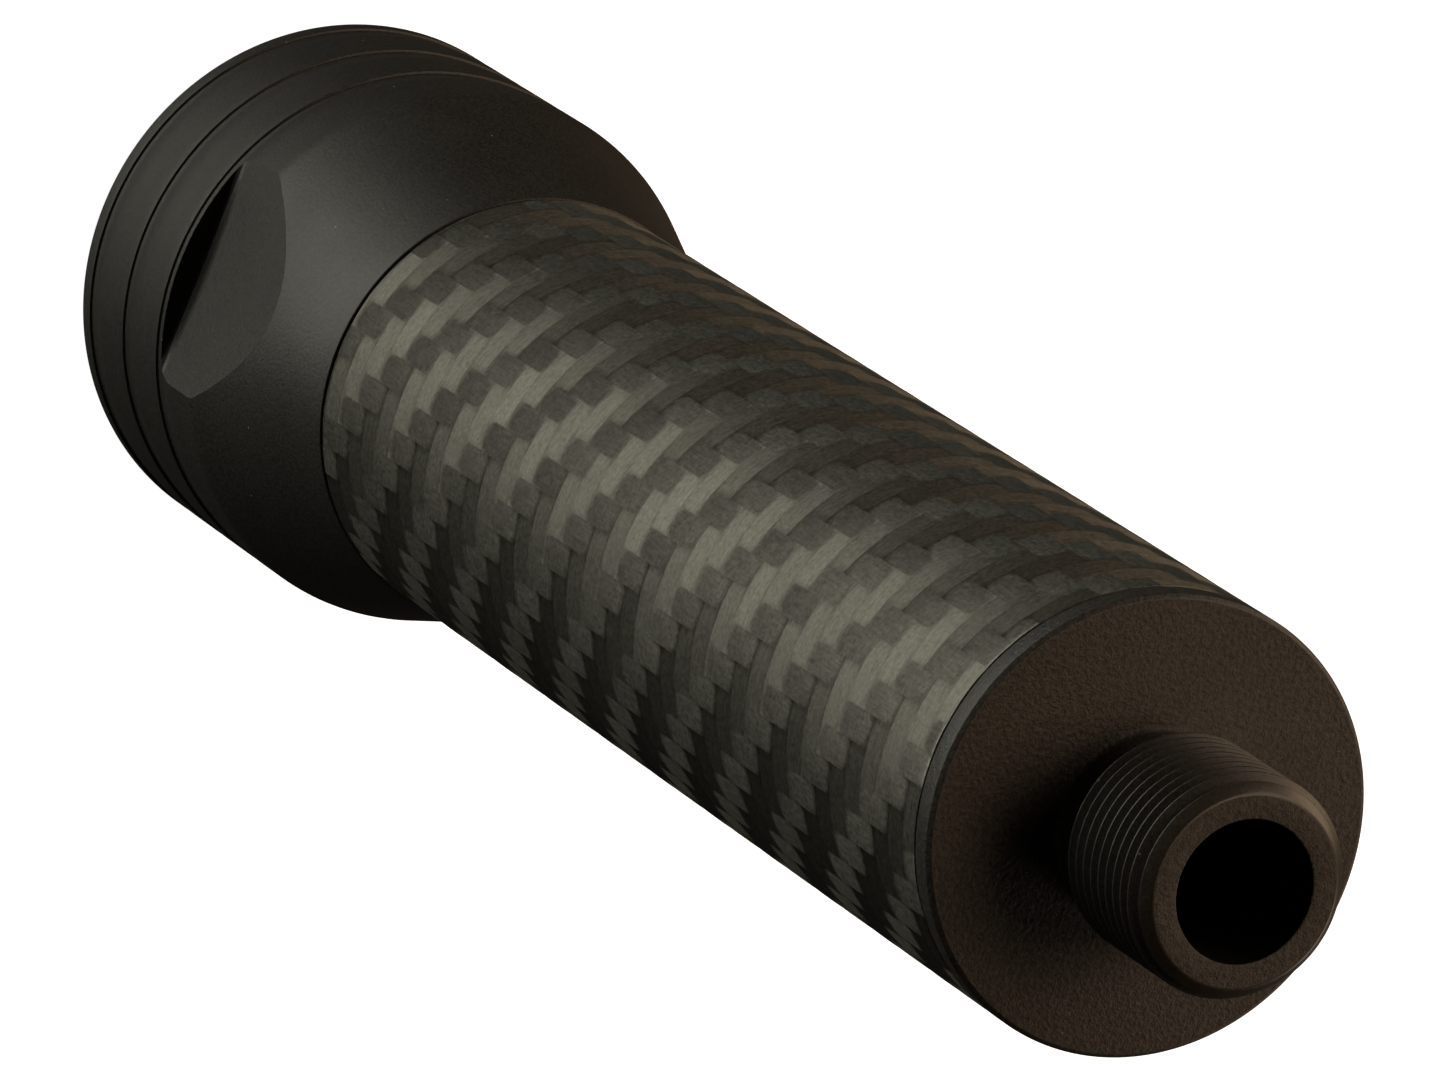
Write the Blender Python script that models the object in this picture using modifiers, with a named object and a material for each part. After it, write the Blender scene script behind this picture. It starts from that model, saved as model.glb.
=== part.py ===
"""Carbon-sleeved threaded tube housing, standing on the rear face of its flared head.

The origin is the centre of the rear face and +Z runs along the housing's axis to the
threaded spigot. Radii and heights are in millimetres and become metres through MM.
Every piece is turned about the Z axis, so each object's origin lies on the axis that the
screwed joints turn about.
"""
from math import cos, pi, radians, sin, tan

import bpy

MM = 0.001
ASSEMBLY = "threaded_tube_housing"
GAP = 0.3                     # left between pieces that touch on the real object
STEPS = 48                    # facets round a turned piece
ORING_SIDES = 8

# Overall sizes. Heights are measured up from the head's rear face.
TOTAL_LENGTH = 140.0
HEAD_RADIUS = 17.83
HEAD_LENGTH = 33.05
SLEEVE_RADIUS = 14.15
SLEEVE_WALL = 1.3
FLANGE_THICKNESS = 1.7
SPIGOT_LENGTH = 13.0
EDGE_CHAMFER = 0.3            # light chamfer on a turned edge
LIP = 0.1                     # a barely broken edge

# Heights that follow from them.
CAP_FACE = TOTAL_LENGTH - SPIGOT_LENGTH
FLANGE_BOTTOM = CAP_FACE - FLANGE_THICKNESS
SLEEVE_BOTTOM = HEAD_LENGTH + GAP
SLEEVE_TOP = FLANGE_BOTTOM - GAP

# Flared head, outside.
CONE_START = 19.5
CONE_END_RADIUS = 14.2
BAND_EDGES = (13.4, 7.4, 1.4)  # upper edge of each grip band, where its groove starts
GROOVE_STEP = 0.17
GROOVE_DEPTH = 0.20
GROOVE_FLOOR = 0.6             # above the edge, where the groove is deepest
GROOVE_RAMP = 1.9              # above the edge, where the groove runs out
FLAT_DISTANCE = 16.0          # axis to wrench flat, so 32 mm across the two
FLAT_START = 13.9
FLAT_CUTTER = (54.0, 6.0, 24.0)

# Flared head, inside.
SOCKET_RADIUS = 12.6
SOCKET_DEPTH = 14.0
SOCKET_CHAMFER = 0.6
PASSAGE_RADIUS = 8.0
COUNTERBORE_RADIUS = 12.0
COUNTERBORE_FLOOR = 19.0

# Socket fittings.
CIRCLIP_SLOT = (2.4, 3.8)
CIRCLIP_SLOT_RADIUS = 13.3
CIRCLIP_THICKNESS = 0.8
CIRCLIP_OUTER = 13.0
CIRCLIP_INNER = 11.7
CIRCLIP_LUG_INNER = 10.2
CIRCLIP_END = 12.0            # degrees from the middle of the opening to each end
CIRCLIP_LUG_ARC = 11.0        # degrees that each lug covers
CIRCLIP_HOLE_RADIUS = 0.5
CIRCLIP_HOLE_CENTRE = 11.4
BUSH_RADIUS = 12.3
BUSH_BORE = 9.0
BUSH_BOTTOM = 4.1
BUSH_TOP = 13.7
BUSH_SLOT = (8.0, 10.0)
BUSH_SLOT_RADIUS = 10.2

# Liner tube, and the rings that centre the sleeve on it.
LINER_RADIUS = 11.7
LINER_BORE = 10.6
LINER_BOTTOM = 21.0
LINER_TOP = 123.0
RING_INNER = 11.6
RING_OUTER = 12.5
RING_HEIGHT = 3.0
REAR_RING_CENTRE = 38.3
FRONT_RING_CENTRE = 119.3

# O-rings: radius to the middle of the section, radius of the section, height.
SOCKET_ORING = (9.2, 0.7, 9.0)
HEAD_ORING = (11.0, 0.7, 20.0)
CAP_ORING = (11.4, 0.75, 124.15)

# Front cap with its threaded spigot.
BORE_RADIUS = 4.36
TIP_RADIUS = 5.9
TIP_CHAMFER = 0.6
THREAD_RADIUS = 6.85
THREAD_DEPTH = 0.6
THREAD_PITCH = 1.0
THREAD_RIDGES = 9
FIRST_CREST = 3.64            # lowest ridge above the cap's face
CREST_FLAT = 0.12
NECK_RADIUS = 5.9
NECK_FILLET = 0.45
BOSS_RADIUS = 10.3
BOSS_BORE = 8.8
BOSS_LENGTH = 10.2
CAP_WALL = 3.2                # thickness round the bore, under the spigot

# Base colour, roughness and metallic value.
FINISHES = {
    "anodised_head": ((0.030, 0.028, 0.025, 1.0), 0.50, 0.85),
    "blasted_cap": ((0.036, 0.028, 0.022, 1.0), 0.62, 0.70),
    "machined_liner": ((0.50, 0.50, 0.50, 1.0), 0.35, 1.00),
    "carbon_twill": ((0.035, 0.035, 0.031, 1.0), 0.32, 0.00),
    "black_polymer": ((0.020, 0.020, 0.020, 1.0), 0.55, 0.00),
    "nitrile": ((0.015, 0.015, 0.015, 1.0), 0.70, 0.00),
    "spring_steel": ((0.20, 0.20, 0.21, 1.0), 0.35, 1.00),
}


def clear_scene():
    """Remove whatever the file holds."""
    for item in list(bpy.data.objects):
        bpy.data.objects.remove(item, do_unlink=True)


def new_collection(name):
    collection = bpy.data.collections.new(name)
    bpy.context.scene.collection.children.link(collection)
    return collection


def finish(name):
    """A Principled material of its own for one sub-part."""
    colour, roughness, metallic = FINISHES[name]
    made = bpy.data.materials.new(name)
    made.use_nodes = True
    shader = made.node_tree.nodes["Principled BSDF"]
    shader.inputs["Base Color"].default_value = colour
    shader.inputs["Roughness"].default_value = roughness
    shader.inputs["Metallic"].default_value = metallic
    return made


def place(piece, height, parent):
    """Put a piece's origin at a height above the rear face, under its parent empty."""
    piece.parent = parent
    piece.location.z = (height - parent["height"]) * MM


def axis_empty(name, height, parent, collection):
    """An empty on the screw axis that carries one group of pieces."""
    empty = bpy.data.objects.new(name, None)
    empty.empty_display_size = 10 * MM
    collection.objects.link(empty)
    empty["height"] = height
    if parent:
        place(empty, height, parent)
    return empty


def arc(radius, start, stop, steps):
    """Points along a circular arc, with its angles in degrees."""
    turns = [radians(start + (stop - start) * i / steps) for i in range(steps + 1)]
    return [(radius * cos(t), radius * sin(t)) for t in turns]


def turned(name, profile, height, parent, finish_name, collection):
    """A turned piece. Its profile runs down the outer side and up the inner side."""
    mesh = bpy.data.meshes.new(name)
    points = [(radius * MM, 0.0, (z - height) * MM) for radius, z in profile]
    count = len(points)
    mesh.from_pydata(points, [(i, (i + 1) % count) for i in range(count)], [])
    mesh.materials.append(finish(finish_name))
    piece = bpy.data.objects.new(name, mesh)
    collection.objects.link(piece)
    screw = piece.modifiers.new("turn", "SCREW")
    screw.axis = "Z"
    screw.angle = 2 * pi
    screw.steps = STEPS
    screw.render_steps = STEPS
    screw.use_smooth_shade = True
    screw.use_merge_vertices = True
    screw.merge_threshold = 1e-6
    place(piece, height, parent)
    return piece


def o_ring(name, sizes, parent, collection):
    """A round-section seal."""
    ring_radius, section, height = sizes
    circle = arc(section, 0, -360, ORING_SIDES)[:-1]
    profile = [(ring_radius + x, height + y) for x, y in circle]
    return turned(name, profile, height, parent, "nitrile", collection)


def head_profile():
    """Flared head: cone, three ramped grip bands, rear socket and front counterbore."""
    points = [
        (CONE_END_RADIUS - LIP, HEAD_LENGTH),
        (CONE_END_RADIUS, HEAD_LENGTH - LIP),
        (HEAD_RADIUS, CONE_START),
    ]
    for edge in BAND_EDGES:
        points += [
            (HEAD_RADIUS, edge + GROOVE_RAMP),
            (HEAD_RADIUS - GROOVE_DEPTH, edge + GROOVE_FLOOR),
            (HEAD_RADIUS - GROOVE_STEP, edge),
            (HEAD_RADIUS, edge),
        ]
    slot_low, slot_high = CIRCLIP_SLOT
    points += [
        (HEAD_RADIUS, EDGE_CHAMFER),
        (HEAD_RADIUS - EDGE_CHAMFER, 0.0),
        (SOCKET_RADIUS + SOCKET_CHAMFER, 0.0),
        (SOCKET_RADIUS, SOCKET_CHAMFER),
        (SOCKET_RADIUS, slot_low),
        (CIRCLIP_SLOT_RADIUS, slot_low),
        (CIRCLIP_SLOT_RADIUS, slot_high),
        (SOCKET_RADIUS, slot_high),
        (SOCKET_RADIUS, SOCKET_DEPTH),
        (PASSAGE_RADIUS, SOCKET_DEPTH),
        (PASSAGE_RADIUS, COUNTERBORE_FLOOR),
        (COUNTERBORE_RADIUS, COUNTERBORE_FLOOR),
        (COUNTERBORE_RADIUS, HEAD_LENGTH),
    ]
    return points


def flat_cutter(name, side, collection):
    """A block that leaves one wrench flat on the -Y or the +Y side of the head."""
    width, depth, length = FLAT_CUTTER
    centre = (0.0, side * (FLAT_DISTANCE + depth / 2) * MM, (FLAT_START + length / 2) * MM)
    bpy.ops.mesh.primitive_cube_add(size=MM, location=centre, scale=(width, depth, length))
    cutter = bpy.context.object
    cutter.name = name
    for owner in list(cutter.users_collection):
        owner.objects.unlink(cutter)
    collection.objects.link(cutter)
    cutter.hide_render = True
    cutter.display_type = "WIRE"
    return cutter


def build_head(root, parts, cutters):
    head = turned("flared_head", head_profile(), 0.0, root, "anodised_head", parts)
    for name, side in (("front_flat_cutter", -1), ("back_flat_cutter", 1)):
        cut = head.modifiers.new(name, "BOOLEAN")
        cut.operation = "DIFFERENCE"
        cut.solver = "EXACT"
        cut.object = flat_cutter(name, side, cutters)


def build_circlip(root, parts):
    """Internal circlip: an open ring with a drilled lug at each end."""
    lug_end = CIRCLIP_END + CIRCLIP_LUG_ARC
    outline = (
        arc(CIRCLIP_OUTER, CIRCLIP_END, 360 - CIRCLIP_END, 40)
        + arc(CIRCLIP_LUG_INNER, 360 - CIRCLIP_END, 360 - lug_end, 3)
        + arc(CIRCLIP_INNER, 357 - lug_end, 3 + lug_end, 36)
        + arc(CIRCLIP_LUG_INNER, lug_end, CIRCLIP_END, 3)
    )
    outlines = [outline]
    for side in (-1, 1):
        turn = side * radians(CIRCLIP_END + CIRCLIP_LUG_ARC / 2)
        x = CIRCLIP_HOLE_CENTRE * cos(turn)
        y = CIRCLIP_HOLE_CENTRE * sin(turn)
        circle = arc(CIRCLIP_HOLE_RADIUS, 0, 360, 8)[:-1]
        outlines.append([(x + dx, y + dy) for dx, dy in circle])

    curve = bpy.data.curves.new("socket_circlip", "CURVE")
    curve.dimensions = "2D"
    curve.fill_mode = "BOTH"
    curve.extrude = CIRCLIP_THICKNESS / 2 * MM
    for points in outlines:
        spline = curve.splines.new("POLY")
        spline.points.add(len(points) - 1)
        for point, (x, y) in zip(spline.points, points):
            point.co = (x * MM, y * MM, 0.0, 1.0)
        spline.use_cyclic_u = True
    curve.materials.append(finish("spring_steel"))
    clip = bpy.data.objects.new("socket_circlip", curve)
    parts.objects.link(clip)
    place(clip, sum(CIRCLIP_SLOT) / 2, root)


def build_bush(root, parts):
    """Bush that centres what enters the socket, with an inner slot for its seal."""
    slot_low, slot_high = BUSH_SLOT
    profile = [
        (BUSH_RADIUS - EDGE_CHAMFER, BUSH_TOP),
        (BUSH_RADIUS, BUSH_TOP - EDGE_CHAMFER),
        (BUSH_RADIUS, BUSH_BOTTOM + EDGE_CHAMFER),
        (BUSH_RADIUS - EDGE_CHAMFER, BUSH_BOTTOM),
        (BUSH_BORE + SOCKET_CHAMFER, BUSH_BOTTOM),
        (BUSH_BORE, BUSH_BOTTOM + SOCKET_CHAMFER),
        (BUSH_BORE, slot_low),
        (BUSH_SLOT_RADIUS, slot_low),
        (BUSH_SLOT_RADIUS, slot_high),
        (BUSH_BORE, slot_high),
        (BUSH_BORE, BUSH_TOP),
    ]
    turned("socket_bush", profile, BUSH_BOTTOM, root, "black_polymer", parts)


def build_liner(tube, parts):
    """Load-bearing tube, with a shallow outer slot for each centring ring."""
    slot_radius = RING_INNER - GAP
    half_slot = RING_HEIGHT / 2 + GAP
    profile = [
        (LINER_RADIUS - EDGE_CHAMFER, LINER_TOP),
        (LINER_RADIUS, LINER_TOP - EDGE_CHAMFER),
    ]
    for centre in (FRONT_RING_CENTRE, REAR_RING_CENTRE):
        profile += [
            (LINER_RADIUS, centre + half_slot),
            (slot_radius, centre + half_slot),
            (slot_radius, centre - half_slot),
            (LINER_RADIUS, centre - half_slot),
        ]
    profile += [
        (LINER_RADIUS, LINER_BOTTOM + EDGE_CHAMFER),
        (LINER_RADIUS - EDGE_CHAMFER, LINER_BOTTOM),
        (LINER_BORE, LINER_BOTTOM),
        (LINER_BORE, LINER_TOP),
    ]
    turned("liner_tube", profile, LINER_BOTTOM, tube, "machined_liner", parts)


def plain_ring(name, radii, heights, finish_name, parent, parts):
    """A ring or sleeve with square ends."""
    inner, outer = radii
    bottom, top = heights
    profile = [(outer, top), (outer, bottom), (inner, bottom), (inner, top)]
    turned(name, profile, bottom, parent, finish_name, parts)


def spigot_profile():
    """The spigot from its tip down to the cap's face, with parallel thread ridges."""
    root = THREAD_RADIUS - THREAD_DEPTH
    half_crest = CREST_FLAT / 2
    flank = THREAD_DEPTH * tan(radians(30))
    points = [
        (TIP_RADIUS, TOTAL_LENGTH),
        (TIP_RADIUS + TIP_CHAMFER, TOTAL_LENGTH - TIP_CHAMFER),
    ]
    for ridge in reversed(range(THREAD_RIDGES)):
        crest = CAP_FACE + FIRST_CREST + ridge * THREAD_PITCH
        points += [
            (root, crest + THREAD_PITCH / 2),
            (THREAD_RADIUS, crest + half_crest),
            (THREAD_RADIUS, crest - half_crest),
        ]
    run_out = CAP_FACE + FIRST_CREST - half_crest - flank
    points += [(root, run_out), (NECK_RADIUS, run_out - flank)]
    fillet = arc(NECK_FILLET, 180, 270, 2)
    points += [(NECK_RADIUS + NECK_FILLET + x, CAP_FACE + NECK_FILLET + y) for x, y in fillet]
    return points


def build_cap(cap, parts):
    """Front cap: spigot, flange over the sleeve's end, and boss inside the liner."""
    boss_end = FLANGE_BOTTOM - BOSS_LENGTH
    profile = spigot_profile() + [
        (SLEEVE_RADIUS - EDGE_CHAMFER, CAP_FACE),
        (SLEEVE_RADIUS, CAP_FACE - EDGE_CHAMFER),
        (SLEEVE_RADIUS, FLANGE_BOTTOM),
        (BOSS_RADIUS, FLANGE_BOTTOM),
        (BOSS_RADIUS, boss_end + EDGE_CHAMFER),
        (BOSS_RADIUS - EDGE_CHAMFER, boss_end),
        (BOSS_BORE, boss_end),
        (BOSS_BORE, CAP_FACE - CAP_WALL),
        (BORE_RADIUS, CAP_FACE - CAP_WALL),
        (BORE_RADIUS, TOTAL_LENGTH - LIP),
        (BORE_RADIUS + LIP, TOTAL_LENGTH),
    ]
    turned("front_cap", profile, FLANGE_BOTTOM, cap, "blasted_cap", parts)


def build():
    clear_scene()
    parts = new_collection(ASSEMBLY)
    cutters = new_collection("cutters")
    root = axis_empty("head_axis", 0.0, None, parts)
    tube = axis_empty("tube_screw_axis", LINER_BOTTOM, root, parts)
    cap = axis_empty("cap_screw_axis", FLANGE_BOTTOM, tube, parts)

    build_head(root, parts, cutters)
    build_bush(root, parts)
    o_ring("socket_oring", SOCKET_ORING, root, parts)
    build_circlip(root, parts)

    o_ring("head_oring", HEAD_ORING, tube, parts)
    build_liner(tube, parts)
    sleeve_radii = (SLEEVE_RADIUS - SLEEVE_WALL, SLEEVE_RADIUS)
    plain_ring("carbon_sleeve", sleeve_radii, (SLEEVE_BOTTOM, SLEEVE_TOP), "carbon_twill", tube, parts)
    rings = {"rear_centring_ring": REAR_RING_CENTRE, "front_centring_ring": FRONT_RING_CENTRE}
    for name, centre in rings.items():
        heights = (centre - RING_HEIGHT / 2, centre + RING_HEIGHT / 2)
        plain_ring(name, (RING_INNER, RING_OUTER), heights, "black_polymer", tube, parts)

    o_ring("cap_oring", CAP_ORING, cap, parts)
    build_cap(cap, parts)


build()
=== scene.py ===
"""Looks for the carbon-sleeved threaded tube housing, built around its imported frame.

Lengths are in millimetres and angles in degrees unless a name says otherwise, and they
become metres and radians where Blender needs them. Z is the housing's axis and its rear
face stands on the floor. Turned pieces are outlines of (radius, height, rounding) points.
"""
from math import cos, pi, radians, sin, sqrt

import bmesh
import bpy
import numpy as np
from mathutils import Euler, Matrix, Vector


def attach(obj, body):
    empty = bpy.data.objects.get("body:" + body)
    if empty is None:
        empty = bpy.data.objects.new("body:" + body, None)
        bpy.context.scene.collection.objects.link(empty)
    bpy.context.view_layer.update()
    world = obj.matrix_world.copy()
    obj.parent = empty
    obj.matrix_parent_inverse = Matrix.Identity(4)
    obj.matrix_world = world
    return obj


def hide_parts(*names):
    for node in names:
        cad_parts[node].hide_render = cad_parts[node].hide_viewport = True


MM = 0.001

# Camera, as the photograph was taken: near the axis, looking down on the spigot.
CAMERA_PLACE = (-92.2405, -390.5092, 796.1692)
CAMERA_TURN = (-16.9171, -23.6002, 113.9486)
CAMERA_LENS = 333.072
CAMERA_SENSOR = 36.0
CAMERA_AZIMUTH = -103.29      # of the camera, seen from the axis

FINE = 288                    # facets round a large turned piece

# Flared head.
HEAD_LENGTH = 33.05
HEAD_RADIUS = 17.83
CONE_START = 19.5
CONE_END_RADIUS = 14.2
BAND_EDGES = (13.4, 7.4, 1.4)  # upper edge of each grip band, where its groove starts
GROOVE = (                    # height over the edge, depth, rounding
    (1.9, 0.0, 0.5),
    (0.6, 0.20, 0.3),
    (0.03, 0.17, 0.05),
    (0.0, 0.0, 0.03),
)
FLAT_DISTANCE = 16.0
FLAT_START = 13.9
FLAT_FILLET = 0.5             # left by the cutter where a flat meets its end wall
FLAT_CUTTER = (60.0, 6.0, 24.1)
HEAD_STEP = 0.8               # longest side of a face along the head, before the flats
SOCKET_RADIUS = 12.6
SOCKET_DEPTH = 14.0
PASSAGE_RADIUS = 8.0
COUNTERBORE_RADIUS = 12.0
COUNTERBORE_FLOOR = 19.0
CIRCLIP_SLOT = (2.4, 3.8, 13.3)

# Sleeve and its weave.
SLEEVE_RADIUS = 14.15
SLEEVE_BORE = 12.85
SLEEVE_BOTTOM = 33.35
SLEEVE_TOP = 125.12
SLEEVE_EDGE = 0.04            # rounding of its outer ends
TOWS_ROUND = 44               # tows that run along the sleeve
HOOP_PITCH = 2.09             # height of one tow that runs round it
CELL_GRID = 6                 # mesh steps across one crossing
CRIMP = 0.030                 # how far a tow rises and falls
TOW_CROWN = 0.015             # how far a tow's middle stands above its edges
HOOP_WIDTH = 1.26             # a tow's width over its pitch
AXIAL_WIDTH = 1.04
FLOAT_SAG = 0.145             # how far the bare tube curves away over half a hoop float
TWILL_PHASE = 0.26            # columns from the camera's side to the nearest tow's edge
WEAVE_START = 33.63           # height of a hoop tow's edge

# How each family of floats looks. Reach is half a float's width and length in tow
# pitches. Bend is its relief at one pitch from the middle, across (beside) or along
# (ahead) the tow. Spread and turn are the shine's anisotropy, where 0 is round the sleeve.
# The edge value is painted shade: each float's colour darkens to it at the float's outline, where
# the crowned tow curves away from the light. Tone spread is a random brightness of each float's
# own.
AXIAL_FLOATS = {
    "reach": (0.53, 0.90),
    "edge_painted_shade": 0.88,
    "tone_spread": 0.14,
    "bends": "beside",
    "bend": -0.08,
    "stretch": (1, 1, 0.1),
    "shade": ((0.106, 0.106, 0.094), (0.208, 0.206, 0.184)),
    "roughness": 0.50,
    "spread": 0.63,
    "turn": 0.0,
}
HOOP_FLOATS = {
    "reach": (0.55, 1.08),
    "edge_painted_shade": 0.74,
    "tone_spread": 0.12,
    "bends": "ahead",
    "bend": FLOAT_SAG * 0.8,
    "stretch": (0.1, 0.1, 1),
    "shade": ((0.11, 0.11, 0.096), (0.215, 0.213, 0.19)),
    "roughness": 0.60,
    "spread": 0.60,
    "turn": 0.25,
}
FLOAT_OVERLAP = (0.45, 1.6)   # outline values between which an axial float ends

# Bare specks in the blasted finish.
SPECK_SPACING = 1.1
SPECK_SIZE = 0.075            # of the widest, over the spacing
SPECK_COLOUR = (0.16, 0.15, 0.13)

# Soft boxes: name, azimuth, elevation, width and height in metres, watts, colour.
NEUTRAL = (1.0, 0.97, 0.84)
WARM = (1.0, 0.78, 0.62)
AMBER = (1.0, 0.71, 0.45)
LIGHTS = (
    ("key", 0, -27, (0.66, 0.50), 4.3, NEUTRAL),
    ("key_fill", -25, -25, (0.40, 0.50), 0.4, NEUTRAL),
    ("left", -128, 0, (0.50, 0.34), 1.7, AMBER),
    ("upper_left", -110, 35, (0.50, 0.30), 1.8, WARM),
    ("overhead", -128, 67, (0.30, 0.30), 1.6, AMBER),
    ("under", 0, -82, (0.30, 0.30), 0.08, NEUTRAL),
    ("right", 50, 0, (0.34, 0.34), 0.12, NEUTRAL),
    ("back", 180, 10, (0.34, 0.34), 1.5, WARM),
)
AMBIENT = (1.0, 0.93, 0.86, 1)
AMBIENT_STRENGTH = 0.01
STAGE_RADIUS = 5000.0
FLOOR_DROP = 0.2              # keeps the floor just clear of the housing's rear face
LIGHT_DISTANCE = 800.0
LIGHT_AIM = 75.0              # height on the axis at which they all point

# Front cap and spigot.
TOTAL_LENGTH = 140.0
CAP_FACE = 127.0
FLANGE_BOTTOM = 125.3
FLANGE_BEVEL = 0.27
THREAD_RADIUS = 6.85
THREAD_ROOT = 6.27
THREAD_PITCH = 1.0
FIRST_CREST = 130.64
FULL_RIDGES = 9
NECK_RADIUS = 5.85
BORE_RADIUS = 4.36
BOSS_RADIUS = 10.3
BOSS_BORE = 8.8
BOSS_END = 115.1
CAP_WALL = 3.2
TIP_CHAMFER = 0.6

# Liner tube.
LINER_RADIUS = 11.7
LINER_BORE = 10.6
LINER_BOTTOM = 21.0
LINER_TOP = 123.0
RING_CENTRES = (119.3, 38.3)
RING_SLOT = (11.3, 1.8)         # radius and half height of a centring ring's slot


# ---------------------------------------------------------------- geometry

def softened(outline, steps=3):
    """Round each corner of a closed outline by its third value, if it has one."""
    points = []
    count = len(outline)
    for i, corner in enumerate(outline):
        here = Vector(corner[:2])
        size = corner[2] if len(corner) > 2 else 0.0
        if size <= 0.0:
            points.append(tuple(here))
            continue
        before = Vector(outline[i - 1][:2]) - here
        after = Vector(outline[(i + 1) % count][:2]) - here
        start = here + before.normalized() * min(size, before.length * 0.45)
        end = here + after.normalized() * min(size, after.length * 0.45)
        for k in range(steps + 1):
            t = k / steps
            point = start * (1 - t) ** 2 + here * (2 * t * (1 - t)) + end * t ** 2
            points.append(tuple(point))
    return points


def sliced(points, longest):
    """Split a closed outline's long sides, so that later cuts leave small even faces."""
    fine = []
    for i, start in enumerate(points):
        end = points[(i + 1) % len(points)]
        pieces = max(1, round((Vector(end) - Vector(start)).length / longest))
        for k in range(pieces):
            fine.append(tuple(Vector(start).lerp(Vector(end), k / pieces)))
    return fine


def mesh_object(name, verts, faces, sharp=35):
    """A smooth-shaded object whose edges sharper than an angle stay crisp."""
    mesh = bpy.data.meshes.new(name)
    mesh.from_pydata(verts, [], faces)
    mesh.polygons.foreach_set("use_smooth", [True] * len(mesh.polygons))
    mesh.set_sharp_from_angle(angle=radians(sharp))
    piece = bpy.data.objects.new(name, mesh)
    bpy.context.scene.collection.objects.link(piece)
    return piece


def placed(section, turn):
    """A section's points, in metres, where a turn round the axis takes them."""
    return [(r * MM * cos(turn), r * MM * sin(turn), z * MM) for r, z in section]


def ring_faces(steps, count):
    """Quads between neighbouring copies of a closed section, all the way round."""
    faces = []
    for i in range(steps):
        this = i * count
        following = (i + 1) % steps * count
        for j in range(count):
            k = (j + 1) % count
            faces.append((this + j, this + k, following + k, following + j))
    return faces


def turned(name, outline, steps=FINE, longest=None):
    """Turn an outline, drawn down the outer side and up the inner side, round the axis."""
    points = softened(outline)
    if longest:
        points = sliced(points, longest)
    verts = []
    for i in range(steps):
        verts += placed(points, 2 * pi * i / steps)
    return mesh_object(name, verts, ring_faces(steps, len(points)))


def cut_flats(piece, distance, low):
    """Cut one flat on the -Y side and one on the +Y side, from a height up."""
    width, depth, height = FLAT_CUTTER
    cutters = []
    for side in (-1, 1):
        place = (0, side * (distance + depth / 2) * MM, (low + height / 2) * MM)
        bpy.ops.mesh.primitive_cube_add(size=1, location=place)
        cutter = bpy.context.object
        cutter.data.transform(Matrix.Diagonal((width * MM, depth * MM, height * MM, 1)))
        round_edges = cutter.modifiers.new("fillet", "BEVEL")
        round_edges.width = FLAT_FILLET * MM
        round_edges.segments = 5
        cutters.append(cutter)
        cut = piece.modifiers.new("flat", "BOOLEAN")
        cut.operation = "DIFFERENCE"
        cut.solver = "EXACT"
        cut.object = cutter
    shape = piece.evaluated_get(bpy.context.evaluated_depsgraph_get())
    mesh = bpy.data.meshes.new_from_object(shape)
    piece.modifiers.clear()
    piece.data = mesh
    for cutter in cutters:
        bpy.data.objects.remove(cutter, do_unlink=True)
    mesh.polygons.foreach_set("use_smooth", [True] * len(mesh.polygons))
    mesh.set_sharp_from_angle(angle=radians(20))

    # A flat meets the cone at a shallow angle, so its outline is kept crisp by itself.
    def on_flat(face):
        centre = abs(face.calc_center_median().y) / MM
        return abs(face.normal.y) > 0.9999 and abs(centre - distance) < 0.01

    shape = bmesh.new()
    shape.from_mesh(mesh)
    for edge in shape.edges:
        if len({on_flat(face) for face in edge.link_faces}) == 2:
            edge.smooth = False
    shape.to_mesh(mesh)
    shape.free()


def head_outline():
    """Flared head, from the cone's end down the outside and up the inside."""
    points = [
        (CONE_END_RADIUS, HEAD_LENGTH, 0.12),
        (HEAD_RADIUS, CONE_START, 0.5),
    ]
    for edge in BAND_EDGES:
        points += [(HEAD_RADIUS - depth, edge + rise, size) for rise, depth, size in GROOVE]
    low, high, radius = CIRCLIP_SLOT
    points += [
        (HEAD_RADIUS, 0.0, 0.25),
        (SOCKET_RADIUS + 0.6, 0.0, 0.08),
        (SOCKET_RADIUS, 0.6, 0.1),
        (SOCKET_RADIUS, low, 0.05),
        (radius, low),
        (radius, high),
        (SOCKET_RADIUS, high, 0.05),
        (SOCKET_RADIUS, SOCKET_DEPTH, 0.15),
        (PASSAGE_RADIUS, SOCKET_DEPTH, 0.2),
        (PASSAGE_RADIUS, COUNTERBORE_FLOOR, 0.2),
        (COUNTERBORE_RADIUS, COUNTERBORE_FLOOR, 0.15),
        (COUNTERBORE_RADIUS, HEAD_LENGTH, 0.12),
    ]
    return points


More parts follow.
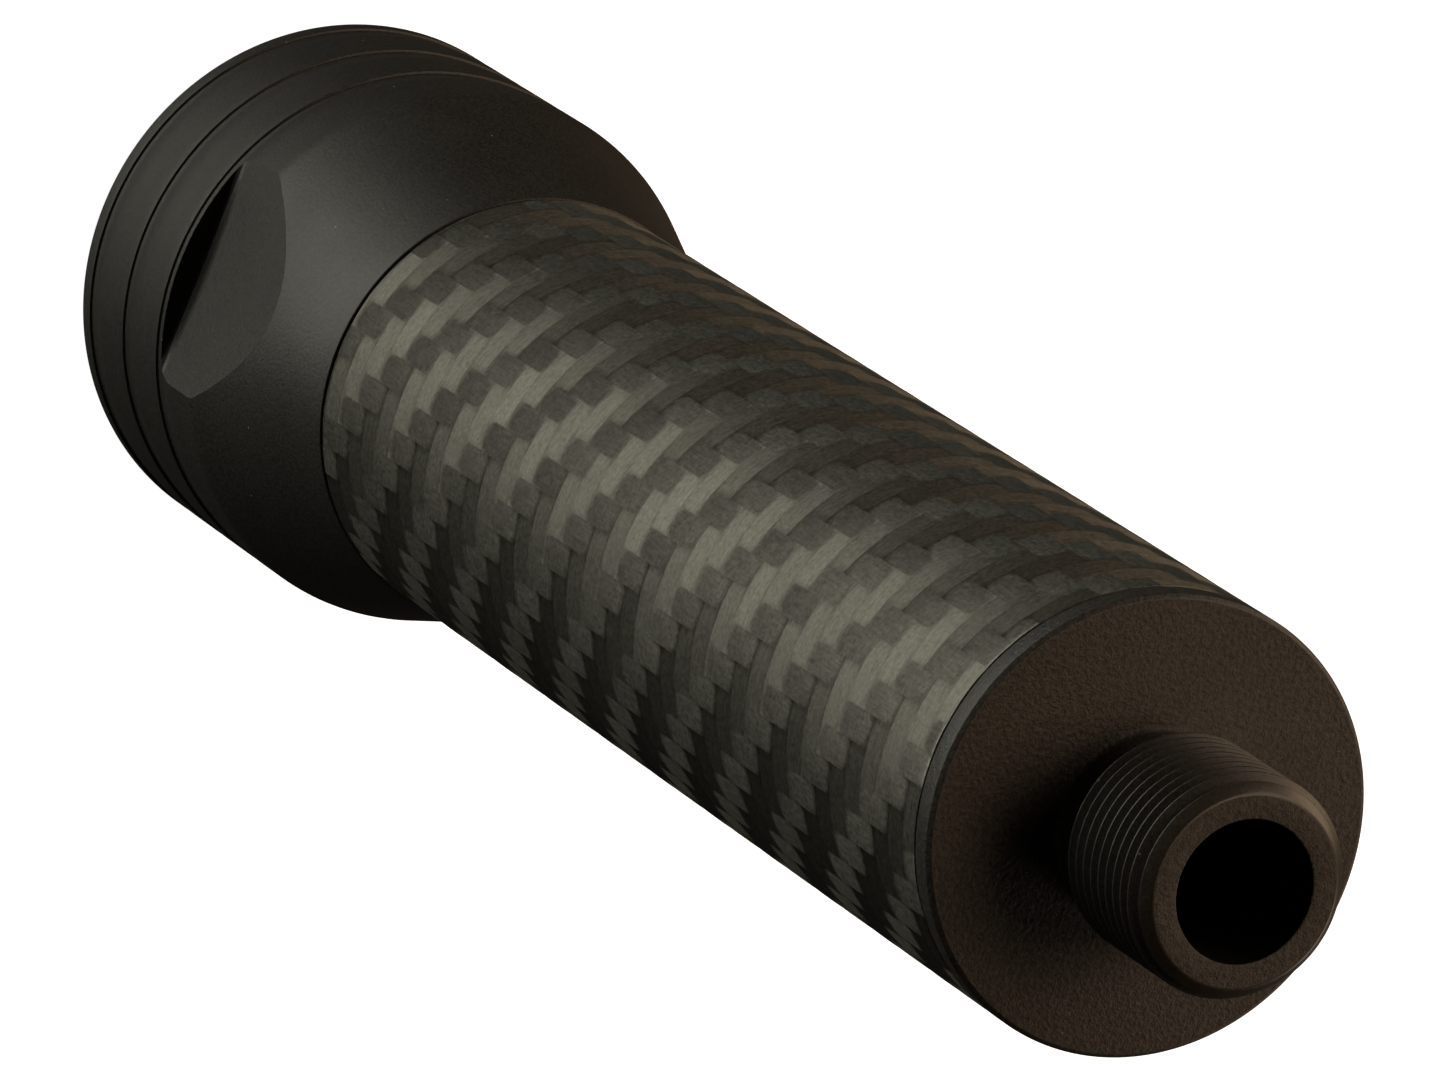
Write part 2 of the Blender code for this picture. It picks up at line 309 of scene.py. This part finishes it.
def cap_outline():
    """Front cap, from the spigot's tip down the outside and up the bore."""
    half = THREAD_PITCH / 2
    points = [(5.9, TOTAL_LENGTH, 0.12), (6.50, TOTAL_LENGTH - TIP_CHAMFER, 0.06)]
    for ridge in reversed(range(FULL_RIDGES)):
        crest = FIRST_CREST + ridge * THREAD_PITCH
        points += [
            (THREAD_ROOT, crest + half, 0.12),
            (THREAD_RADIUS, crest + 0.05, 0.05),
            (THREAD_RADIUS, crest - 0.05, 0.05),
        ]
    points += [
        (NECK_RADIUS, FIRST_CREST - half - 0.25, 0.3),
        (NECK_RADIUS, CAP_FACE, 0.45),
        (SLEEVE_RADIUS - FLANGE_BEVEL, CAP_FACE, 0.05),
        (SLEEVE_RADIUS, CAP_FACE - FLANGE_BEVEL, 0.05),
        (SLEEVE_RADIUS, FLANGE_BOTTOM, 0.06),
        (BOSS_RADIUS, FLANGE_BOTTOM, 0.2),
        (BOSS_RADIUS, BOSS_END, 0.3),
        (BOSS_BORE, BOSS_END, 0.1),
        (BOSS_BORE, CAP_FACE - CAP_WALL, 0.2),
        (BORE_RADIUS, CAP_FACE - CAP_WALL, 0.1),
        (BORE_RADIUS, TOTAL_LENGTH, 0.12),
    ]
    return points


def liner_outline():
    """Liner tube, with a shallow outer slot for each centring ring."""
    radius, half = RING_SLOT
    points = [(LINER_RADIUS, LINER_TOP, 0.3)]
    for centre in RING_CENTRES:
        points += [
            (LINER_RADIUS, centre + half),
            (radius, centre + half),
            (radius, centre - half),
            (LINER_RADIUS, centre - half),
        ]
    points += [
        (LINER_RADIUS, LINER_BOTTOM, 0.3),
        (LINER_BORE, LINER_BOTTOM),
        (LINER_BORE, LINER_TOP),
    ]
    return points


def weave_relief(column, row):
    """Height of the woven surface in millimetres.

    Column and row count tow pitches round and along the sleeve. Two rows up, two rows
    down, shifted one column a row, is 2x2 twill.
    """
    def along(value, phase):
        """A tow's rise and fall: up for two crossings, down for two."""
        wave = np.cos((value - phase) * pi / 2)
        return wave * (1.35 - 0.35 * wave ** 2)

    def family(place, crossing, width, side):
        """The highest of one family's tows, each with a crowned section."""
        highest = np.full(place.shape, -1.0)
        for step in (-1, 0, 1):
            tow = np.floor(place) + step
            offset = (place - tow - 0.5) * 2 / width
            crown = TOW_CROWN * (np.sqrt(np.clip(1 - offset ** 2, 0.02, 1)) - 1)
            height = side * CRIMP * along(crossing, 1 - tow) + crown
            highest = np.where(np.abs(offset) < 1, np.maximum(highest, height), highest)
        return highest

    axial = family(column, row, AXIAL_WIDTH, 1)
    hoop = family(row, column, HOOP_WIDTH, -1)
    return np.maximum(axial, hoop)


def woven_sleeve(name):
    """The sleeve as one closed mesh, with the weave's relief on its outer side."""
    around = TOWS_ROUND * CELL_GRID
    rows = round((SLEEVE_TOP - SLEEVE_BOTTOM) / HOOP_PITCH * CELL_GRID)
    edge = SLEEVE_EDGE
    heights = np.linspace(SLEEVE_BOTTOM + edge, SLEEVE_TOP - edge, rows + 1)[::-1]
    turn = np.arange(around) / around * 2 * pi
    column = (np.degrees(turn) - CAMERA_AZIMUTH) / 360 * TOWS_ROUND + TWILL_PHASE
    column = np.mod(column, TOWS_ROUND)
    row = (heights - WEAVE_START) / HOOP_PITCH
    grid_column, grid_row = np.meshgrid(column, row, indexing="ij")
    radius = SLEEVE_RADIUS - CRIMP + weave_relief(grid_column, grid_row)

    # Rounded ends and the plain bore follow the outer wall down to close the section.
    quarter = [radians(30 * k) for k in range(1, 4)]
    lower = [(edge * (1 - cos(t)), SLEEVE_BOTTOM + edge * (1 - sin(t))) for t in quarter]
    upper = [(edge * (1 - cos(t)), SLEEVE_TOP - edge * (1 - sin(t))) for t in quarter]
    upper.reverse()
    bore = [(SLEEVE_BORE, SLEEVE_BOTTOM), (SLEEVE_BORE, SLEEVE_TOP)]

    verts = []
    for i in range(around):
        section = [(radius[i, j], heights[j]) for j in range(rows + 1)]
        section += [(radius[i, rows] - drop, z) for drop, z in lower]
        section += bore
        section += [(radius[i, 0] - drop, z) for drop, z in upper]
        verts += placed(section, turn[i])
    return mesh_object(name, verts, ring_faces(around, len(section)), sharp=25)


# ---------------------------------------------------------------- materials

class Nodes:
    """Short calls for building one material's node tree."""

    def __init__(self, name):
        self.material = bpy.data.materials.new(name)
        self.material.use_nodes = True
        self.tree = self.material.node_tree
        self.tree.nodes.clear()
        self.output = self.tree.nodes.new("ShaderNodeOutputMaterial")

    def add(self, kind, values=None, **settings):
        node = self.tree.nodes.new(kind)
        for key, value in settings.items():
            setattr(node, key, value)
        for key, value in (values or {}).items():
            socket = node.inputs[key]
            if isinstance(value, bpy.types.NodeSocket):
                self.tree.links.new(value, socket)
            else:
                socket.default_value = value
        return node

    def math(self, operation, *values, clamp=False):
        """One arithmetic step on numbers or on other nodes' outputs."""
        settings = dict(enumerate(values))
        return self.add("ShaderNodeMath", settings, operation=operation,
                        use_clamp=clamp).outputs[0]

    def position(self, stretch=(1, 1, 1)):
        coordinate = self.add("ShaderNodeTexCoord").outputs["Object"]
        return self.add("ShaderNodeMapping", {"Vector": coordinate, "Scale": stretch}).outputs[0]

    def noise(self, size, stretch=(1, 1, 1), detail=2.0, roughness=0.5):
        """Noise whose features are about this many millimetres across."""
        values = {
            "Vector": self.position(stretch),
            "Scale": 1 / (size * MM),
            "Detail": detail,
            "Roughness": roughness,
        }
        return self.add("ShaderNodeTexNoise", values).outputs["Fac"]

    def ranged(self, value, low, high, from_low=0.3, from_high=0.7):
        """Map a noise value from its usual spread onto a range."""
        values = {
            "Value": value,
            "From Min": from_low,
            "From Max": from_high,
            "To Min": low,
            "To Max": high,
        }
        return self.add("ShaderNodeMapRange", values).outputs["Result"]

    def tint(self, factor, dark, light):
        """Blend between two colours."""
        return self.blend(factor, (*dark, 1), (*light, 1))

    def blend(self, factor, first, second):
        """Mix two colours, either of which may be another node's output."""
        mix = self.add("ShaderNodeMix", {"Factor": factor}, data_type="RGBA")
        ends = [socket for socket in mix.inputs if socket.type == "RGBA"]
        for socket, colour in zip(ends, (first, second)):
            if isinstance(colour, bpy.types.NodeSocket):
                self.tree.links.new(colour, socket)
            else:
                socket.default_value = colour
        return [socket for socket in mix.outputs if socket.type == "RGBA"][0]

    def bump(self, height, depth, normal=None):
        """Relief of this depth in millimetres."""
        values = {"Height": height, "Distance": depth * MM, "Strength": 1.0}
        if normal:
            values["Normal"] = normal
        return self.add("ShaderNodeBump", values).outputs["Normal"]

    def finish(self, shader):
        self.tree.links.new(shader.outputs[0], self.output.inputs["Surface"])
        return self.material


def blasted_metal(name, dark, light, grain, depth, roughness):
    """Blasted and black-anodised aluminium, with a few bare specks."""
    nodes = Nodes(name)
    fine = nodes.noise(grain, detail=3.0, roughness=0.7)
    broad = nodes.noise(6.0)
    low, high = roughness
    cell = nodes.add("ShaderNodeTexVoronoi", {
        "Vector": nodes.position(),
        "Scale": 1 / (SPECK_SPACING * MM),
    }).outputs
    chance = nodes.add("ShaderNodeSeparateColor", {"Color": cell["Color"]}).outputs[0]
    size = nodes.ranged(chance, 0.0, SPECK_SIZE, 0.6, 1.0)
    speck = nodes.math("LESS_THAN", cell["Distance"], size)
    metal = nodes.tint(nodes.ranged(fine, 0, 1, 0.36, 0.64), dark, light)
    shader = nodes.add("ShaderNodeBsdfPrincipled", {
        "Base Color": nodes.blend(speck, metal, (*SPECK_COLOUR, 1)),
        "Roughness": nodes.ranged(broad, low, high),
        "Normal": nodes.bump(fine, depth),
        "IOR": 1.5,
    })
    return nodes.finish(shader)


def tow_places(nodes, across, along, shift):
    """Where a point lies on one family's tow: its number, then offsets across and along.

    Offsets count tow pitches from the middle of the tow and from the middle of the
    nearest float, where the tow lies on top for two crossings out of four.
    """
    tow = nodes.math("FLOOR", across)
    beside = nodes.math("SUBTRACT", nodes.math("SUBTRACT", across, tow), 0.5)
    travel = nodes.math("ADD", nodes.math("ADD", along, tow), shift)
    ahead = nodes.math("WRAP", travel, 2.0, -2.0)
    number = nodes.math("FLOOR", nodes.math("MULTIPLY_ADD", travel, 0.25, 0.5))
    return tow, beside, ahead, number


def carbon_weave():
    """2x2 twill in satin resin, each float lying flat and its fibres shining one way."""
    nodes = Nodes("carbon_twill")
    place = nodes.add("ShaderNodeSeparateXYZ", {"Vector": nodes.position()}).outputs
    angle = nodes.math("ARCTAN2", place["Y"], place["X"])
    start = TWILL_PHASE - CAMERA_AZIMUTH / 360 * TOWS_ROUND
    column = nodes.math("MULTIPLY_ADD", angle, TOWS_ROUND / (2 * pi), start)
    row = nodes.math("MULTIPLY_ADD", place["Z"], 1 / (HOOP_PITCH * MM), -WEAVE_START / HOOP_PITCH)
    around = nodes.add("ShaderNodeTangent", direction_type="RADIAL", axis="Z").outputs[0]
    mottle = nodes.noise(0.30, detail=3.0, roughness=0.7)

    def power(value, size):
        """Fourth power of an offset over the size at which it reaches one."""
        return nodes.math("POWER", nodes.math("ABSOLUTE", nodes.math("DIVIDE", value, size)), 4.0)

    def float_tone(tow, number, spread):
        """A brightness of its own for each float."""
        cell = nodes.add("ShaderNodeCombineXYZ", {"X": tow, "Y": number}).outputs[0]
        chance = nodes.add("ShaderNodeTexWhiteNoise", {"Vector": cell}).outputs["Value"]
        return nodes.ranged(chance, 1 - spread, 1 + spread, 0, 1)

    def floats(family, across, along, shift):
        """One family's shader, and an outline that passes one at the edge of a float."""
        tow, beside, ahead, number = tow_places(nodes, across, along, shift)
        half_width, half_length = family["reach"]
        outline = nodes.math("ADD", power(beside, half_width), power(ahead, half_length))
        # Painted shade towards the float's outline, times the float's own random brightness.
        edge_shade_and_tone = nodes.math("MULTIPLY", nodes.ranged(outline, 1.0, family["edge_painted_shade"], 0.3, 1.1),
                          float_tone(tow, number, family["tone_spread"]))
        side = beside if family["bends"] == "beside" else ahead
        relief = nodes.math("MULTIPLY", nodes.math("MULTIPLY", side, side), family["bend"])
        strands = nodes.noise(0.14, family["stretch"], detail=2.0, roughness=0.6)
        grain = nodes.math("ADD", nodes.math("MULTIPLY", strands, 0.35),
                           nodes.math("MULTIPLY", mottle, 0.65))
        base = nodes.tint(nodes.ranged(grain, 0, 1, 0.36, 0.64), *family["shade"])
        toned = nodes.add("ShaderNodeVectorMath", {0: base}, operation="SCALE")
        nodes.tree.links.new(edge_shade_and_tone, toned.inputs["Scale"])
        roughness = family["roughness"]
        shader = nodes.add("ShaderNodeBsdfPrincipled", {
            "Base Color": toned.outputs[0],
            "Metallic": 1.0,
            "Roughness": nodes.ranged(mottle, roughness - 0.04, roughness + 0.04),
            "Anisotropic": family["spread"],
            "Anisotropic Rotation": family["turn"],
            "Tangent": around,
            "Normal": nodes.bump(grain, 0.012, nodes.bump(relief, 1.0)),
        })
        return shader, outline

    axial, outline = floats(AXIAL_FLOATS, column, row, -1.0)
    hoop, _ = floats(HOOP_FLOATS, row, column, -3.0)
    mix = nodes.add("ShaderNodeMixShader", {
        0: nodes.ranged(outline, 1, 0, *FLOAT_OVERLAP),
        1: hoop.outputs[0],
        2: axial.outputs[0],
    })
    return nodes.finish(mix)


def turned_metal(name, colour, roughness):
    """Bare metal with fine tool marks round it."""
    nodes = Nodes(name)
    marks = nodes.noise(0.12, (0.02, 0.02, 1), detail=2.0)
    shader = nodes.add("ShaderNodeBsdfPrincipled", {
        "Base Color": (*colour, 1),
        "Metallic": 1.0,
        "Roughness": nodes.ranged(marks, roughness - 0.06, roughness + 0.06),
        "Normal": nodes.bump(marks, 0.004),
    })
    return nodes.finish(shader)


def moulded(name, dark, light, roughness, index=1.5):
    """Rubber or plastic."""
    nodes = Nodes(name)
    grain = nodes.noise(0.25, detail=2.0)
    shader = nodes.add("ShaderNodeBsdfPrincipled", {
        "Base Color": nodes.tint(nodes.ranged(grain, 0, 1), dark, light),
        "Roughness": nodes.ranged(nodes.noise(3.0), roughness - 0.05, roughness + 0.05),
        "Normal": nodes.bump(grain, 0.006),
        "IOR": index,
    })
    return nodes.finish(shader)


# ---------------------------------------------------------------- assembly

def dress(piece, material, body, node):
    piece.data.materials.clear()
    piece.data.materials.append(material)
    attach(piece, body)
    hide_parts(node)


def refinish_faces(piece, material, chosen):
    """Give another finish to the faces chosen by their radius and height."""
    piece.data.materials.append(material)
    slot = len(piece.data.materials) - 1
    for face in piece.data.polygons:
        outward = sqrt(face.center.x ** 2 + face.center.y ** 2) / MM
        if chosen(outward, face.center.z / MM):
            face.material_index = slot


def refinish(node, material):
    """Give a CAD node that stays its real material."""
    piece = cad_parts[node]
    piece.data.materials.clear()
    piece.data.materials.append(material)


def area_light(name, azimuth, elevation, size, power, colour):
    """A soft box aimed at the middle of the housing, invisible to the camera.

    Its azimuth is counted from the photographing camera's.
    """
    data = bpy.data.lights.new(name, "AREA")
    data.shape = "RECTANGLE"
    data.size = size[0]
    data.size_y = size[1]
    data.energy = power
    data.color = colour
    lamp = bpy.data.objects.new(name, data)
    bpy.context.scene.collection.objects.link(lamp)
    turn = radians(CAMERA_AZIMUTH + azimuth)
    rise = radians(elevation)
    out = Vector((cos(turn) * cos(rise), sin(turn) * cos(rise), sin(rise)))
    lamp.location = Vector((0, 0, LIGHT_AIM * MM)) + out * LIGHT_DISTANCE * MM
    lamp.rotation_euler = out.to_track_quat("Z", "Y").to_euler()
    lamp.visible_camera = False


def stage():
    """Pale floor and surroundings that the camera sees and that cast no light."""
    nodes = Nodes("pale_floor")
    shader = nodes.add("ShaderNodeBsdfPrincipled", {
        "Base Color": (0.8, 0.8, 0.8, 1),
        "Roughness": 0.9,
        "Emission Color": (1, 1, 1, 1),
        "Emission Strength": 1.0,
    })
    pale = nodes.finish(shader)
    radius = STAGE_RADIUS * MM
    bpy.ops.mesh.primitive_circle_add(vertices=96, radius=radius, fill_type="NGON")
    floor = bpy.context.object
    floor.name = "floor"
    floor.location.z = -FLOOR_DROP * MM
    bpy.ops.mesh.primitive_uv_sphere_add(segments=64, ring_count=32, radius=radius)
    dome = bpy.context.object
    dome.name = "surroundings"
    nodes = Nodes("pale_surroundings")
    glow = nodes.add("ShaderNodeEmission", {"Color": (1, 1, 1, 1), "Strength": 1.0})
    dome.data.materials.append(nodes.finish(glow))
    floor.data.materials.append(pale)
    for piece in (floor, dome):
        piece.visible_diffuse = False
        piece.visible_glossy = False
        piece.visible_shadow = False


def studio():
    scene = bpy.context.scene
    scene.view_settings.view_transform = "Standard"
    world = bpy.data.worlds.new("studio")
    world.use_nodes = True
    background = world.node_tree.nodes["Background"]
    background.inputs["Color"].default_value = AMBIENT
    background.inputs["Strength"].default_value = AMBIENT_STRENGTH
    scene.world = world
    for light in LIGHTS:
        area_light(*light)

    data = bpy.data.cameras.new("camera")
    data.lens = CAMERA_LENS
    data.sensor_width = CAMERA_SENSOR
    data.clip_start = 0.05
    data.clip_end = 20.0
    camera = bpy.data.objects.new("camera", data)
    scene.collection.objects.link(camera)
    camera.location = Vector(CAMERA_PLACE) * MM
    camera.rotation_euler = Euler([radians(a) for a in CAMERA_TURN], "XYZ")
    scene.camera = camera


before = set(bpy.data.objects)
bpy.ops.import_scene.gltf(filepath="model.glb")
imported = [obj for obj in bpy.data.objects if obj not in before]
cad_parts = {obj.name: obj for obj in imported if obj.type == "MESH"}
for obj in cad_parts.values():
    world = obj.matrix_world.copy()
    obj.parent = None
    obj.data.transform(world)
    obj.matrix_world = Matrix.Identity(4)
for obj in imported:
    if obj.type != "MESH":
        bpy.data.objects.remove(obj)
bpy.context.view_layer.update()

head_black = blasted_metal("anodised_head", (0.006, 0.0058, 0.005), (0.023, 0.022, 0.0195),
                           0.24, 0.026, (0.50, 0.56))
cap_black = blasted_metal("blasted_cap", (0.005, 0.0037, 0.0026), (0.036, 0.028, 0.0205),
                          0.32, 0.10, (0.56, 0.64))
thread_black = blasted_metal("cut_thread", (0.007, 0.0058, 0.0044), (0.036, 0.030, 0.023),
                             0.16, 0.012, (0.42, 0.48))
rim_black = blasted_metal("blasted_rim", (0.007, 0.0067, 0.0058), (0.034, 0.032, 0.028),
                          0.28, 0.07, (0.48, 0.54))
# Painted shade: the spigot's bore is given a near-black, matt, weakly reflecting finish, so it
# stays dark where the lamps would light its wall.
bore_painted_shade = moulded("painted_shade_bore", (0.002, 0.002, 0.002), (0.004, 0.004, 0.004), 0.9,
                     index=1.15)
chamfer_black = blasted_metal("cut_chamfer", (0.014, 0.011, 0.008), (0.030, 0.025, 0.018),
                              0.22, 0.012, (0.38, 0.42))
bare = turned_metal("machined_liner", (0.50, 0.50, 0.50), 0.36)
polymer = moulded("black_polymer", (0.010, 0.010, 0.010), (0.022, 0.022, 0.022), 0.5)
rubber = moulded("nitrile", (0.008, 0.008, 0.008), (0.016, 0.016, 0.016), 0.7)
spring = turned_metal("spring_steel", (0.20, 0.20, 0.21), 0.38)

head = turned("head_body", head_outline(), longest=HEAD_STEP)
cut_flats(head, FLAT_DISTANCE, FLAT_START)
dress(head, head_black, "head", "flared_head")

sleeve = woven_sleeve("woven_sleeve")
dress(sleeve, carbon_weave(), "tube", "carbon_sleeve")

liner = turned("liner_body", liner_outline())
dress(liner, bare, "tube", "liner_tube")

cap = turned("cap_body", cap_outline())
dress(cap, cap_black, "cap", "front_cap")
refinish_faces(cap, chamfer_black, lambda r, z: r > 5.8 and z > TOTAL_LENGTH - TIP_CHAMFER)
refinish_faces(cap, thread_black, lambda r, z: r < THREAD_RADIUS + 0.01
               and FIRST_CREST - THREAD_PITCH / 2 < z < TOTAL_LENGTH - TIP_CHAMFER)
refinish_faces(cap, rim_black, lambda r, z: r > SLEEVE_RADIUS - 0.4 and z < CAP_FACE + 0.01)
# Painted shade: the bore's faces take that near-black finish.
refinish_faces(cap, bore_painted_shade, lambda r, z: r < BORE_RADIUS + 0.01)

refinish("socket_bush", polymer)
refinish("rear_centring_ring", polymer)
refinish("front_centring_ring", polymer)
refinish("socket_oring", rubber)
refinish("head_oring", rubber)
refinish("cap_oring", rubber)
refinish("socket_circlip", spring)

stage()
studio()
